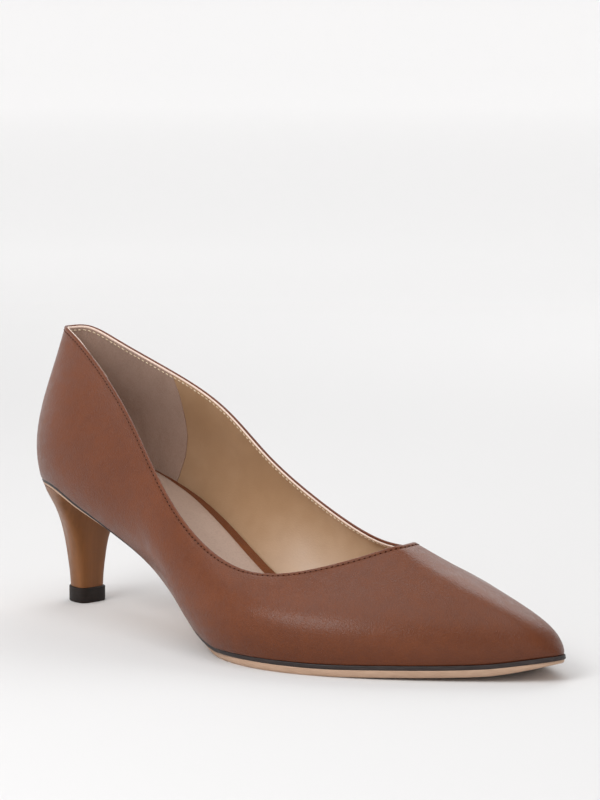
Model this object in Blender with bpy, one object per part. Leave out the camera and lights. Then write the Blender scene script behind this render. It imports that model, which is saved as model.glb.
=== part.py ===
# Kitten heel pump, right shoe, standing on its heel tip and forefoot.
# Metres, +X to the toe, +Y to the wearer's inner side, +Z up.
# The origin is the centre of the heel tip's floor face.
# Sizes below are in millimetres and become metres when points are placed.
import bmesh
import bpy
import numpy as np

for item in list(bpy.data.objects):
    bpy.data.objects.remove(item, do_unlink=True)

MM = 0.001

# Last: the form that the leather is pulled over
LAST_LENGTH = 250.0
BALL_WIDTH = 84.0
SEAT_HEIGHT = 51.0
COLLAR_HEIGHT = 109.0
HEEL_SET = 15.0
TIP_SWING = 14.5

# Leather and layers
WALL = 1.7
CLEARANCE = 0.3
INSOLE_THICK = 2.0
SOCK_THICK = 1.2
MIDSOLE_THICK = 1.4
MIDSOLE_THIN = 0.9
OUTSOLE_THICK = 2.3
OUTSOLE_THIN = 0.9
OUTSOLE_TIP = 0.7
STRIP_WIDTH = 8.0
STRIP_THICK = 0.9
INSOLE_EASE = 0.15
SOCK_ROUND = 0.5
SOLE_ROUND = 0.7

# Heel
TIP_HEIGHT = 6.0
TIP_OVERHANG = 0.7
SHAFT_BACK = -6.4
SHAFT_FRONT = 5.6
SHAFT_HALF = 5.8
BREAST = 15.0
BREAST_DEPTH = 4.0
SEAT_INSET = 0.35

GROUND = 2 * CLEARANCE + MIDSOLE_THICK + OUTSOLE_THICK

# Feather edge, where leather meets sole.
# along: share of LAST_LENGTH; lateral, medial: shares of BALL_WIDTH
FEATHER = (
    # along, lateral, medial
    (0.000, 0.000, 0.000),
    (0.018, 0.145, 0.146),
    (0.065, 0.268, 0.268),
    (0.150, 0.338, 0.330),
    (0.250, 0.358, 0.315),
    (0.360, 0.370, 0.258),
    (0.470, 0.465, 0.256),
    (0.580, 0.552, 0.360),
    (0.680, 0.530, 0.470),
    (0.770, 0.440, 0.485),
    (0.860, 0.302, 0.385),
    (0.930, 0.171, 0.234),
    (0.975, 0.082, 0.118),
    (1.000, 0.000, 0.000),
)

# Side profile of the feather edge.
# along: share of LAST_LENGTH; lift: share of SEAT_HEIGHT over the forefoot
PROFILE = (
    # along, lift
    (-0.020, 1.000),
    (0.000, 1.000),
    (0.080, 0.995),
    (0.180, 0.850),
    (0.300, 0.600),
    (0.420, 0.265),
    (0.490, 0.068),
    (0.550, 0.000),
    (0.720, 0.000),
    (0.820, 0.016),
    (0.920, 0.038),
    (1.000, 0.108),
)

# Topline of collar and throat.
# along: share of LAST_LENGTH; lateral, medial: shares of BALL_WIDTH
# high_lateral, high_medial: shares of COLLAR_HEIGHT over the floor
TOPLINE = (
    # along, lateral, medial, high_lateral, high_medial
    (0.029, 0.000, 0.000, 1.003, 1.003),
    (0.044, 0.070, 0.088, 1.003, 0.999),
    (0.092, 0.122, 0.153, 0.969, 0.946),
    (0.176, 0.195, 0.228, 0.875, 0.857),
    (0.270, 0.288, 0.300, 0.746, 0.742),
    (0.356, 0.370, 0.340, 0.585, 0.584),
    (0.440, 0.432, 0.378, 0.439, 0.455),
    (0.520, 0.452, 0.398, 0.338, 0.366),
    (0.586, 0.428, 0.388, 0.296, 0.326),
    (0.642, 0.358, 0.334, 0.304, 0.329),
    (0.687, 0.252, 0.240, 0.334, 0.343),
    (0.719, 0.142, 0.142, 0.365, 0.369),
    (0.737, 0.060, 0.074, 0.386, 0.389),
    (0.741, 0.000, 0.000, 0.389, 0.389),
)

# How each rib of the upper rises from feather to topline.
# swell_low, swell_high: how far the two handles stand outward, shares of BALL_WIDTH
# rise, drop: how far they reach up and down, shares of COLLAR_HEIGHT
# lean: share of the way back over the feather
RIBS = (
    # swell_low, rise, lean, swell_high, drop
    (0.071, 0.202, 0.00, 0.071, 0.202),
    (0.071, 0.202, 0.00, 0.071, 0.202),
    (0.071, 0.202, 0.00, 0.060, 0.183),
    (0.083, 0.183, 0.00, 0.048, 0.156),
    (0.107, 0.156, 0.00, 0.036, 0.128),
    (0.131, 0.147, 0.00, 0.036, 0.110),
    (0.131, 0.147, 0.05, 0.042, 0.083),
    (0.095, 0.147, 0.15, 0.060, 0.060),
    (0.064, 0.147, 0.29, 0.071, 0.046),
    (0.045, 0.142, 0.38, 0.060, 0.049),
    (0.031, 0.138, 0.40, 0.042, 0.066),
    (0.021, 0.128, 0.42, 0.024, 0.094),
    (0.020, 0.119, 0.44, 0.006, 0.121),
    (0.029, 0.119, 0.45, 0.000, 0.127),
)

# How far each layer's edge lies inside the feather edge, as shares of BALL_WIDTH.
# A negative number stands proud of the leather.
EDGES = (
    # midsole, outsole, sock
    (0.0071, 0.0083, 0.0333),
    (0.0071, 0.0083, 0.0333),
    (0.0071, 0.0083, 0.0333),
    (0.0095, 0.0119, 0.0452),
    (0.0262, 0.0310, 0.0690),
    (0.0452, 0.0524, 0.0821),
    (0.0405, 0.0476, 0.0929),
    (0.0119, 0.0143, 0.0976),
    (-0.0012, -0.0036, 0.0952),
    (-0.0024, -0.0060, 0.0881),
    (-0.0024, -0.0060, 0.0762),
    (-0.0024, -0.0036, 0.0643),
    (-0.0024, 0.0012, 0.0548),
    (-0.0024, 0.0071, 0.0500),
)

# Heel between the seat and the tip.
# drop: share of the way down; reach, width: share of the seat's extra size
HEEL = (
    # drop, back, front, width
    (0.00, 1.00, 1.00, 1.00),
    (0.07, 0.97, 0.72, 0.89),
    (0.16, 0.90, 0.45, 0.71),
    (0.28, 0.77, 0.25, 0.48),
    (0.42, 0.60, 0.12, 0.28),
    (0.58, 0.41, 0.05, 0.14),
    (0.76, 0.21, 0.02, 0.06),
    (0.90, 0.07, 0.00, 0.02),
    (1.00, 0.00, 0.00, 0.00),
)

SPLITS = 3
RIB_STEPS = 12
HEEL_SIDES = 40


def column(table, index):
    return np.array([row[index] for row in table], float)


def round_trip(lateral, medial):
    """Rows of the lateral side, heel to toe, then of the medial side back."""
    return np.concatenate([lateral, medial[-2:0:-1]])


def closed_line(keys, values):
    """A smooth closed line through rows: a cubic in every gap."""
    count = len(values)
    gaps = np.diff(keys)
    matrix = np.zeros((count, count))
    right = np.zeros(count)
    for i in range(count):
        before, after = gaps[i - 1], gaps[i]
        nxt = (i + 1) % count
        matrix[i, i - 1] += before
        matrix[i, i] += 2 * (before + after)
        matrix[i, nxt] += after
        slope_after = (values[nxt] - values[i]) / after
        slope_before = (values[i] - values[i - 1]) / before
        right[i] = 6 * (slope_after - slope_before)
    bend = np.linalg.solve(matrix, right)

    def read(place):
        place = np.mod(place, keys[-1])
        i = np.clip(np.searchsorted(keys, place, "right") - 1, 0, count - 1)
        j = (i + 1) % count
        gap = gaps[i]
        b = (place - keys[i]) / gap
        a = 1 - b
        curve = (a**3 - a) * bend[i] + (b**3 - b) * bend[j]
        return a * values[i] + b * values[j] + curve * gap**2 / 6

    return read


def open_line(keys, values):
    """A smooth open line that stays level between two equal rows."""
    gaps = np.diff(keys)
    grades = np.diff(values) / gaps
    slopes = np.zeros(len(values))
    slopes[0] = grades[0]
    slopes[-1] = grades[-1]
    for i in range(1, len(values) - 1):
        left, right = grades[i - 1], grades[i]
        if left * right > 0:
            w1 = 2 * gaps[i] + gaps[i - 1]
            w2 = gaps[i] + 2 * gaps[i - 1]
            slopes[i] = (w1 + w2) / (w1 / left + w2 / right)

    def read(place):
        place = np.clip(place, keys[0], keys[-1])
        i = np.clip(np.searchsorted(keys, place, "right") - 1, 0, len(gaps) - 1)
        gap = gaps[i]
        b = (place - keys[i]) / gap
        ends = values[i] * (1 + 2 * b) * (1 - b) ** 2 + values[i + 1] * b**2 * (3 - 2 * b)
        turns = slopes[i] * b * (1 - b) ** 2 - slopes[i + 1] * b**2 * (1 - b)
        return ends + turns * gap

    return read


def station(along):
    return along * LAST_LENGTH - HEEL_SET


def swung(x, y, start, swing):
    """Bends the centre line inward towards the toe."""
    share = np.clip((x - station(start)) / (LAST_LENGTH * (1 - start)), 0, None)
    return y + swing * share**2


# The closed guide lines of the last
half_rows = len(FEATHER)
feather_along = column(FEATHER, 0)
feather_x = station(round_trip(feather_along, feather_along))
feather_y = round_trip(-column(FEATHER, 1), column(FEATHER, 2)) * BALL_WIDTH
feather_y = swung(feather_x, feather_y, 0.6, TIP_SWING)
steps = np.hypot(np.diff(np.append(feather_x, feather_x[0])), np.diff(np.append(feather_y, feather_y[0])))
KEYS = np.concatenate([[0.0], np.cumsum(steps**0.6)])
TOE_KEY = KEYS[half_rows - 1]
FEATHER_X = closed_line(KEYS, feather_x)
FEATHER_Y = closed_line(KEYS, feather_y)
lift = open_line(station(column(PROFILE, 0)), column(PROFILE, 1))

topline_along = column(TOPLINE, 0)
topline_x = station(round_trip(topline_along, topline_along))
topline_y = round_trip(-column(TOPLINE, 1), column(TOPLINE, 2)) * BALL_WIDTH
topline_y = swung(topline_x, topline_y, 0.3, TIP_SWING * 0.55)
middle = (column(TOPLINE, 3) + column(TOPLINE, 4)) / 2
high_lateral = column(TOPLINE, 3)
high_medial = column(TOPLINE, 4)
high_lateral[-1] = middle[-1]
TOPLINE_X = closed_line(KEYS, topline_x)
TOPLINE_Y = closed_line(KEYS, topline_y)
TOPLINE_Z = closed_line(KEYS, round_trip(high_lateral, high_medial) * COLLAR_HEIGHT)

rib_units = (BALL_WIDTH, COLLAR_HEIGHT, 1.0, BALL_WIDTH, COLLAR_HEIGHT)
rib_columns = [column(RIBS, i) * unit for i, unit in enumerate(rib_units)]
rib_lines = [closed_line(KEYS, round_trip(values, values)) for values in rib_columns]
edge_columns = [column(EDGES, i) * BALL_WIDTH for i in range(3)]
edge_lines = [closed_line(KEYS, round_trip(values, values)) for values in edge_columns]


def base_height(x):
    """Height of the feather edge over the floor."""
    return GROUND + lift(x) * (SEAT_HEIGHT - GROUND)


def outward(key):
    """Level direction out of the feather edge."""
    dx = FEATHER_X(key + 0.01) - FEATHER_X(key - 0.01)
    dy = FEATHER_Y(key + 0.01) - FEATHER_Y(key - 0.01)
    size = np.hypot(dx, dy)
    return dy / size, -dx / size


def outer_skin(key, rise):
    """Outside of the upper: key runs round the shoe, rise from feather to topline."""
    fx, fy = FEATHER_X(key), FEATHER_Y(key)
    foot = np.stack([fx, fy, base_height(fx)], -1)
    top = np.stack([TOPLINE_X(key), TOPLINE_Y(key), TOPLINE_Z(key)], -1)
    nx, ny = outward(key)
    side = np.stack([nx, ny, np.zeros_like(nx)], -1)
    up = np.array([0.0, 0.0, 1.0])
    level = np.array([1.0, 1.0, 0.0])
    swell_low, climb, lean, swell_high, drop = [line(key)[..., None] for line in rib_lines]
    low = foot + swell_low * side + climb * up
    high = top + lean * (foot - top) * level + swell_high * side - drop * up
    b = rise[..., None]
    a = 1 - b
    return a**3 * foot + 3 * a**2 * b * low + 3 * a * b**2 * high + b**3 * top


def skin(key, rise, depth):
    """The upper at a depth under its outside."""
    point = outer_skin(key, rise)
    if depth == 0:
        return point
    around = outer_skin(key + 0.02, rise) - outer_skin(key - 0.02, rise)
    climbing = outer_skin(key, np.minimum(rise + 0.01, 1)) - outer_skin(key, np.maximum(rise - 0.01, 0))
    normal = np.cross(around, climbing)
    normal /= np.linalg.norm(normal, axis=-1, keepdims=True)
    return point - depth * normal


def layer_point(x, y, offset):
    """A point at an offset square to the bottom of the last."""
    slope = (base_height(x + 0.5) - base_height(x - 0.5)) / 1.0
    size = np.sqrt(1 + slope**2)
    return np.stack([x - offset * slope / size, y, base_height(x) + offset / size], -1)


def layer_height(x, offset):
    """Height of a layer's face over the point x on the floor."""
    foot = x
    for _ in range(6):
        slope = (base_height(foot + 0.5) - base_height(foot - 0.5)) / 1.0
        foot = x + offset * slope / np.sqrt(1 + slope**2)
    slope = (base_height(foot + 0.5) - base_height(foot - 0.5)) / 1.0
    return base_height(foot) + offset / np.sqrt(1 + slope**2)


def thickness(x, thin, thick):
    """A sole layer is thin from seat to arch and thick at the forefoot."""
    share = np.clip((x - station(0.28)) / (LAST_LENGTH * 0.26), 0, 1)
    return thin + (thick - thin) * share**2 * (3 - 2 * share)


def skived(x, thick, tip):
    """What a sole layer has left where it is pared down under the toe."""
    share = np.clip((x - station(0.91)) / (LAST_LENGTH * 0.09), 0, 1)
    return thick - (thick - tip) * share**2


def add_object(name, mesh, colour, roughness, metallic=0.0):
    data = bpy.data.meshes.new(name)
    bmesh.ops.recalc_face_normals(mesh, faces=mesh.faces)
    mesh.to_mesh(data)
    mesh.free()
    material = bpy.data.materials.new(name + "_finish")
    material.use_nodes = True
    shader = material.node_tree.nodes["Principled BSDF"]
    shader.inputs["Base Color"].default_value = (*colour, 1.0)
    shader.inputs["Roughness"].default_value = roughness
    shader.inputs["Metallic"].default_value = metallic
    data.materials.append(material)
    data.shade_smooth()
    data.set_sharp_from_angle(angle=np.radians(35))
    thing = bpy.data.objects.new(name, data)
    bpy.context.scene.collection.objects.link(thing)
    return thing


def first_ring(mesh, points):
    ring = [mesh.verts.new(point * MM) for point in points]
    for i, vert in enumerate(ring):
        mesh.edges.new((vert, ring[(i + 1) % len(ring)]))
    return ring


def next_ring(mesh, ring, points):
    """Extrudes a closed ring of edges to a new set of points."""
    edges = [mesh.edges.get((vert, ring[(i + 1) % len(ring)])) for i, vert in enumerate(ring)]
    made = bmesh.ops.extrude_edge_only(mesh, edges=edges)["geom"]
    fresh = {item for item in made if isinstance(item, bmesh.types.BMVert)}
    result = []
    for vert, point in zip(ring, points):
        partner = next(e.other_vert(vert) for e in vert.link_edges if e.other_vert(vert) in fresh)
        partner.co = point * MM
        result.append(partner)
    return result


def strip_cap(mesh, ring):
    """Closes a ring with strips across it, from one side to the other."""
    count = len(ring)
    for i in range(count // 2):
        corners = []
        for vert in (ring[i], ring[i + 1], ring[count - i - 1], ring[(count - i) % count]):
            if vert not in corners:
                corners.append(vert)
        mesh.faces.new(corners)


def loft(rings):
    """A closed solid through rings of points."""
    mesh = bmesh.new()
    ring = first_ring(mesh, rings[0])
    strip_cap(mesh, ring)
    for points in rings[1:]:
        ring = next_ring(mesh, ring, points)
    strip_cap(mesh, ring)
    return mesh


def round_keys():
    """Places round the shoe, the same number between every two rows."""
    parts = [np.linspace(a, b, SPLITS, endpoint=False) for a, b in zip(KEYS[:-1], KEYS[1:])]
    return np.concatenate(parts)


def layer_rings(levels):
    """Rings of a layer: each level is (inset line, offset at each point, extra inset)."""
    keys = round_keys()
    nx, ny = outward(keys)
    rings = []
    for inset, offset, extra in levels:
        reach = inset + extra
        x = FEATHER_X(keys) - nx * reach
        y = FEATHER_Y(keys) - ny * reach
        rings.append(layer_point(x, y, offset(x)))
    return rings


# Upper: the outside ring by ring up to the topline, then the lining side down
keys = round_keys()
mesh = bmesh.new()
rises = np.linspace(0, 1, RIB_STEPS + 1)
ring = first_ring(mesh, skin(keys, np.zeros_like(keys), 0))
start = ring
for rise in rises[1:]:
    ring = next_ring(mesh, ring, skin(keys, np.full_like(keys, rise), 0))
for rise in rises[::-1]:
    inside = skin(keys, np.full_like(keys, rise), WALL)
    if rise == 0:
        inside[:, 2] = base_height(inside[:, 0])
    ring = next_ring(mesh, ring, inside)
for i, vert in enumerate(ring):
    j = (i + 1) % len(ring)
    mesh.faces.new((vert, ring[j], start[j], start[i]))
add_object("upper", mesh, (0.19, 0.075, 0.040), 0.45)

# Insole board inside the upper, and the padded sock on it
insole_inset = WALL + CLEARANCE + INSOLE_EASE
insole = loft(layer_rings([
    (insole_inset, lambda x: x * 0, 0.0),
    (insole_inset, lambda x: x * 0 + INSOLE_THICK, 0.0),
]))
add_object("insole", insole, (0.17, 0.065, 0.032), 0.5)

sock_inset = edge_lines[2](keys)
sock_floor = INSOLE_THICK + CLEARANCE
sock = loft(layer_rings([
    (sock_inset, lambda x: x * 0 + sock_floor, 0.0),
    (sock_inset, lambda x: x * 0 + sock_floor + SOCK_THICK * 0.6, 0.0),
    (sock_inset, lambda x: x * 0 + sock_floor + SOCK_THICK, SOCK_ROUND),
]))
add_object("sock", sock, (0.45, 0.33, 0.27), 0.6)


# Sole layers under the upper
def midsole_top(x):
    return x * 0 - CLEARANCE


def midsole_floor(x):
    return midsole_top(x) - thickness(x, MIDSOLE_THIN, MIDSOLE_THICK)


def outsole_top(x):
    return midsole_floor(x) - CLEARANCE


def outsole_floor(x):
    return outsole_top(x) - thickness(x, OUTSOLE_THIN, skived(x, OUTSOLE_THICK, OUTSOLE_TIP))


midsole = loft(layer_rings([
    (edge_lines[0](keys), midsole_top, 0.0),
    (edge_lines[0](keys), midsole_floor, 0.0),
]))
add_object("midsole", midsole, (0.018, 0.013, 0.012), 0.4)

outsole = loft(layer_rings([
    (edge_lines[1](keys), outsole_top, 0.0),
    (edge_lines[1](keys), lambda x: outsole_floor(x) * 0.6 + outsole_top(x) * 0.4, 0.0),
    (edge_lines[1](keys), outsole_floor, SOLE_ROUND),
]))
add_object("outsole", outsole, (0.42, 0.27, 0.16), 0.5)

# Heel: from the seat under the outsole down to the tip
turns = np.linspace(0, 2 * np.pi, HEEL_SIDES, endpoint=False)
rear = np.cos(turns) > 1e-9
lateral = np.sin(turns) > 0
seat_keys = np.linspace(0, TOE_KEY * 0.5, 200)
seat_nx, seat_ny = outward(seat_keys)
seat_inset = edge_lines[1](seat_keys) + SEAT_INSET
SEAT_X = FEATHER_X(seat_keys) - seat_nx * seat_inset
SEAT_LATERAL = FEATHER_Y(seat_keys) - seat_ny * seat_inset
seat_nx, seat_ny = outward(KEYS[-1] - seat_keys)
SEAT_MEDIAL = FEATHER_Y(KEYS[-1] - seat_keys) - seat_ny * seat_inset


def d_shape(back, front, half):
    """Round at the back, flat with rounded corners at the front."""
    belly = front - 0.30 * (front - back)
    c, s = np.cos(turns), np.sin(turns)
    power = np.where(rear, 1.0, 0.55)
    reach = np.where(rear, belly - back, front - belly)
    x = belly - np.sign(c) * np.abs(c) ** power * reach
    y = -np.sign(s) * np.abs(s) ** power * half
    return x, y


def seat_shape():
    """The outsole's own outline round the back, cut straight at the breast."""
    belly = BREAST - BREAST_DEPTH
    c, s = np.cos(turns), np.sin(turns)
    reach = np.where(rear, belly - SEAT_X[0], BREAST - belly)
    x = belly - np.sign(c) * np.abs(c) ** np.where(rear, 1.0, 0.55) * reach
    place = np.minimum(x, belly)
    side = np.where(lateral, np.interp(place, SEAT_X, SEAT_LATERAL), np.interp(place, SEAT_X, SEAT_MEDIAL))
    y = side * np.where(rear, 1.0, np.abs(s) ** 0.55)
    return x, np.where(np.abs(s) < 1e-9, 0.0, y)


def heel_ring(drop, back, front, width):
    """A ring between the shaft's shape and the seat's."""
    shaft_x, shaft_y = d_shape(SHAFT_BACK, SHAFT_FRONT, SHAFT_HALF)
    seat_x, seat_y = seat_shape()
    x = shaft_x + (seat_x - shaft_x) * np.where(seat_x < shaft_x, back, front)
    y = shaft_y + (seat_y - shaft_y) * width
    seat = layer_height(x, outsole_floor(x) - CLEARANCE)
    foot = TIP_HEIGHT + CLEARANCE
    return np.stack([x, y, seat * (1 - drop) + foot * drop], -1)


heel = loft([heel_ring(*row) for row in HEEL])
add_object("heel", heel, (0.14, 0.075, 0.038), 0.35)

tip_x, tip_y = d_shape(SHAFT_BACK - TIP_OVERHANG, SHAFT_FRONT + TIP_OVERHANG, SHAFT_HALF + TIP_OVERHANG)
tip_rings = [np.stack([tip_x, tip_y, tip_x * 0 + z], -1) for z in (TIP_HEIGHT, 0.0)]
add_object("heel_tip", loft(tip_rings), (0.012, 0.010, 0.010), 0.5)

# Strip over the seam at the centre of the back
strip_rises = np.linspace(0.05, 0.965, 12)
edge_key = 0.0
while np.hypot(*(outer_skin(np.array([edge_key]), np.array([0.5]))[0, :2]
                 - outer_skin(np.array([0.0]), np.array([0.5]))[0, :2])) < STRIP_WIDTH / 2:
    edge_key += 0.02
across = np.linspace(-edge_key, edge_key, 5)
mesh = bmesh.new()
rows = []
for depth in (-CLEARANCE, -CLEARANCE - STRIP_THICK):
    for rise in strip_rises:
        rows.append(skin(across, np.full_like(across, rise), depth))
count = len(strip_rises)
grid = [[mesh.verts.new(point * MM) for point in row] for row in rows]
inner, outer = grid[:count], grid[count:]
for sheet in (inner, outer):
    for i in range(count - 1):
        for j in range(len(across) - 1):
            mesh.faces.new((sheet[i][j], sheet[i][j + 1], sheet[i + 1][j + 1], sheet[i + 1][j]))
rim = [edge for edge in mesh.edges if edge.is_boundary]
bmesh.ops.bridge_loops(mesh, edges=rim)
add_object("back_strip", mesh, (0.17, 0.065, 0.034), 0.45)
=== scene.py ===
# %% [markdown]
# # A kitten heel pump in brown leather
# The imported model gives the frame: every solid at its real size and place.
# This lesson dresses that frame. Each cell makes one piece or one finish of the shoe.

# %% Load the frame
import math
import bmesh
import bpy
import numpy as np
from mathutils import Matrix, Vector


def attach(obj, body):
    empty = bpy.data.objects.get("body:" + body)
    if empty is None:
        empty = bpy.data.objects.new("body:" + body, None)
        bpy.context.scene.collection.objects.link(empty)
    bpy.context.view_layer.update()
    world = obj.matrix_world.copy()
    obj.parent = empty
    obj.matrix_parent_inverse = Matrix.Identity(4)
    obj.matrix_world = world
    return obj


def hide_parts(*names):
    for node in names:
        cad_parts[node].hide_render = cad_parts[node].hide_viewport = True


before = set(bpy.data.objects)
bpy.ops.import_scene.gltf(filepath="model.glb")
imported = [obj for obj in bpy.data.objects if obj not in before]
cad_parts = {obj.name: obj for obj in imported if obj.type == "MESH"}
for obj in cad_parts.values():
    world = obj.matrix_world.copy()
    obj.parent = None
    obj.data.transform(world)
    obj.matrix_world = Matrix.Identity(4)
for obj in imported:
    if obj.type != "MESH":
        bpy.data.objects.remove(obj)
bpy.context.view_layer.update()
MM = 0.001
print("frame nodes:", sorted(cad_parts))

# %% [markdown]
# ## The last
# A shoe takes its form from a last, the wooden or plastic foot that the leather is pulled over.
# The last could be sculpted, but here it is two closed lines and the ribs between them:
# the feather edge, where leather meets sole, and the topline, the edge of the opening.
# Every piece of leather below is a flat grid that is pulled onto this form, so that the pieces
# fit each other.

# %% Sizes of the last, in millimetres
LAST_LENGTH = 250.0
BALL_WIDTH = 84.0
SEAT_HEIGHT = 51.0
COLLAR_HEIGHT = 109.0
HEEL_SET = 15.0
TIP_SWING = 14.5
SWING_FROM = 0.6
TOPLINE_SWING = 0.55 * TIP_SWING
TOPLINE_SWING_FROM = 0.3
WALL = 1.7
CLEARANCE = 0.3
MIDSOLE_THICK = 1.4
MIDSOLE_THIN = 0.9
OUTSOLE_THICK = 2.3
OUTSOLE_THIN = 0.9
OUTSOLE_TIP = 0.7
GROUND = 2 * CLEARANCE + MIDSOLE_THICK + OUTSOLE_THICK

# Feather edge. along: share of LAST_LENGTH; lateral, medial: shares of BALL_WIDTH
FEATHER = np.array([
    (0.000, 0.000, 0.000), (0.018, 0.145, 0.146), (0.065, 0.268, 0.268), (0.150, 0.338, 0.330),
    (0.250, 0.358, 0.315), (0.360, 0.370, 0.258), (0.470, 0.465, 0.256), (0.580, 0.552, 0.360),
    (0.680, 0.530, 0.470), (0.770, 0.440, 0.485), (0.860, 0.302, 0.385), (0.930, 0.171, 0.234),
    (0.975, 0.082, 0.118), (1.000, 0.000, 0.000),
])
# Side profile of the feather edge. along, lift over the forefoot as a share of SEAT_HEIGHT
PROFILE = np.array([
    (-0.020, 1.000), (0.000, 1.000), (0.080, 0.995), (0.180, 0.850), (0.300, 0.600), (0.420, 0.265),
    (0.490, 0.068), (0.550, 0.000), (0.720, 0.000), (0.820, 0.016), (0.920, 0.038), (1.000, 0.108),
])
# Topline. along, lateral, medial, and the two heights as shares of COLLAR_HEIGHT
TOPLINE = np.array([
    (0.029, 0.000, 0.000, 1.003, 1.003), (0.044, 0.070, 0.088, 1.003, 0.999),
    (0.092, 0.122, 0.153, 0.969, 0.946), (0.176, 0.195, 0.228, 0.875, 0.857),
    (0.270, 0.288, 0.300, 0.746, 0.742), (0.356, 0.370, 0.340, 0.585, 0.584),
    (0.440, 0.432, 0.378, 0.439, 0.455), (0.520, 0.452, 0.398, 0.338, 0.366),
    (0.586, 0.428, 0.388, 0.296, 0.326), (0.642, 0.358, 0.334, 0.304, 0.329),
    (0.687, 0.252, 0.240, 0.334, 0.343), (0.719, 0.142, 0.142, 0.365, 0.369),
    (0.737, 0.060, 0.074, 0.386, 0.389), (0.741, 0.000, 0.000, 0.389, 0.389),
])
# Ribs. swell_low, rise, lean, swell_high, drop: swells are shares of BALL_WIDTH,
# rise and drop shares of COLLAR_HEIGHT
RIBS = np.array([
    (0.071, 0.202, 0.00, 0.071, 0.202), (0.071, 0.202, 0.00, 0.071, 0.202),
    (0.071, 0.202, 0.00, 0.060, 0.183), (0.083, 0.183, 0.00, 0.048, 0.156),
    (0.107, 0.156, 0.00, 0.036, 0.128), (0.131, 0.147, 0.00, 0.036, 0.110),
    (0.131, 0.147, 0.05, 0.042, 0.083), (0.095, 0.147, 0.15, 0.060, 0.060),
    (0.064, 0.147, 0.29, 0.071, 0.046), (0.045, 0.142, 0.38, 0.060, 0.049),
    (0.031, 0.138, 0.40, 0.042, 0.066), (0.021, 0.128, 0.42, 0.024, 0.094),
    (0.020, 0.119, 0.44, 0.006, 0.121), (0.029, 0.119, 0.45, 0.000, 0.127),
])
# How far each layer's edge lies inside the feather edge, as shares of BALL_WIDTH.
# midsole, outsole, sock
EDGES = np.array([
    (0.0071, 0.0083, 0.0333), (0.0071, 0.0083, 0.0333), (0.0071, 0.0083, 0.0333),
    (0.0095, 0.0119, 0.0452), (0.0262, 0.0310, 0.0690), (0.0452, 0.0524, 0.0821),
    (0.0405, 0.0476, 0.0929), (0.0119, 0.0143, 0.0976), (-0.0012, -0.0036, 0.0952),
    (-0.0024, -0.0060, 0.0881), (-0.0024, -0.0060, 0.0762), (-0.0024, -0.0036, 0.0643),
    (-0.0024, 0.0012, 0.0548), (-0.0024, 0.0071, 0.0500),
])
print("last:", LAST_LENGTH, "mm long,", BALL_WIDTH, "mm at the ball")


# %% Smooth lines through the tables
def round_trip(lateral, medial):
    """The lateral side from heel to toe, then the medial side back."""
    return np.concatenate([lateral, medial[-2:0:-1]])


def closed_line(keys, values):
    """A smooth closed line through rows, with a cubic in every gap."""
    count = len(values)
    gaps = np.diff(keys)
    matrix = np.zeros((count, count))
    right = np.zeros(count)
    for i in range(count):
        nxt = (i + 1) % count
        matrix[i, i - 1] += gaps[i - 1]
        matrix[i, i] += 2 * (gaps[i - 1] + gaps[i])
        matrix[i, nxt] += gaps[i]
        slope_after = (values[nxt] - values[i]) / gaps[i]
        slope_before = (values[i] - values[i - 1]) / gaps[i - 1]
        right[i] = 6 * (slope_after - slope_before)
    bend = np.linalg.solve(matrix, right)

    def read(place):
        place = np.mod(place, keys[-1])
        i = np.clip(np.searchsorted(keys, place, "right") - 1, 0, count - 1)
        j = (i + 1) % count
        b = (place - keys[i]) / gaps[i]
        a = 1 - b
        curve = (a**3 - a) * bend[i] + (b**3 - b) * bend[j]
        return a * values[i] + b * values[j] + curve * gaps[i]**2 / 6

    return read


def open_line(keys, values):
    """A smooth open line that stays level between two equal rows."""
    gaps = np.diff(keys)
    grades = np.diff(values) / gaps
    slopes = np.zeros(len(values))
    slopes[0], slopes[-1] = grades[0], grades[-1]
    for i in range(1, len(values) - 1):
        left, right = grades[i - 1], grades[i]
        if left * right > 0:
            w1, w2 = 2 * gaps[i] + gaps[i - 1], gaps[i] + 2 * gaps[i - 1]
            slopes[i] = (w1 + w2) / (w1 / left + w2 / right)

    def read(place):
        place = np.clip(place, keys[0], keys[-1])
        i = np.clip(np.searchsorted(keys, place, "right") - 1, 0, len(gaps) - 1)
        b = (place - keys[i]) / gaps[i]
        ends = values[i] * (1 + 2 * b) * (1 - b)**2 + values[i + 1] * b**2 * (3 - 2 * b)
        return ends + (slopes[i] * b * (1 - b)**2 - slopes[i + 1] * b**2 * (1 - b)) * gaps[i]

    return read


def station(along):
    """Place along the shoe, in mm from the heel tip's middle."""
    return along * LAST_LENGTH - HEEL_SET


def swung(x, y, start, swing):
    """Bends the centre line inward towards the toe."""
    share = np.clip((x - station(start)) / (LAST_LENGTH * (1 - start)), 0, None)
    return y + swing * share**2


feather_x = station(round_trip(FEATHER[:, 0], FEATHER[:, 0]))
feather_y = round_trip(-FEATHER[:, 1], FEATHER[:, 2]) * BALL_WIDTH
feather_y = swung(feather_x, feather_y, SWING_FROM, TIP_SWING)
chords = np.hypot(np.diff(np.append(feather_x, feather_x[0])),
                  np.diff(np.append(feather_y, feather_y[0])))
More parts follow.
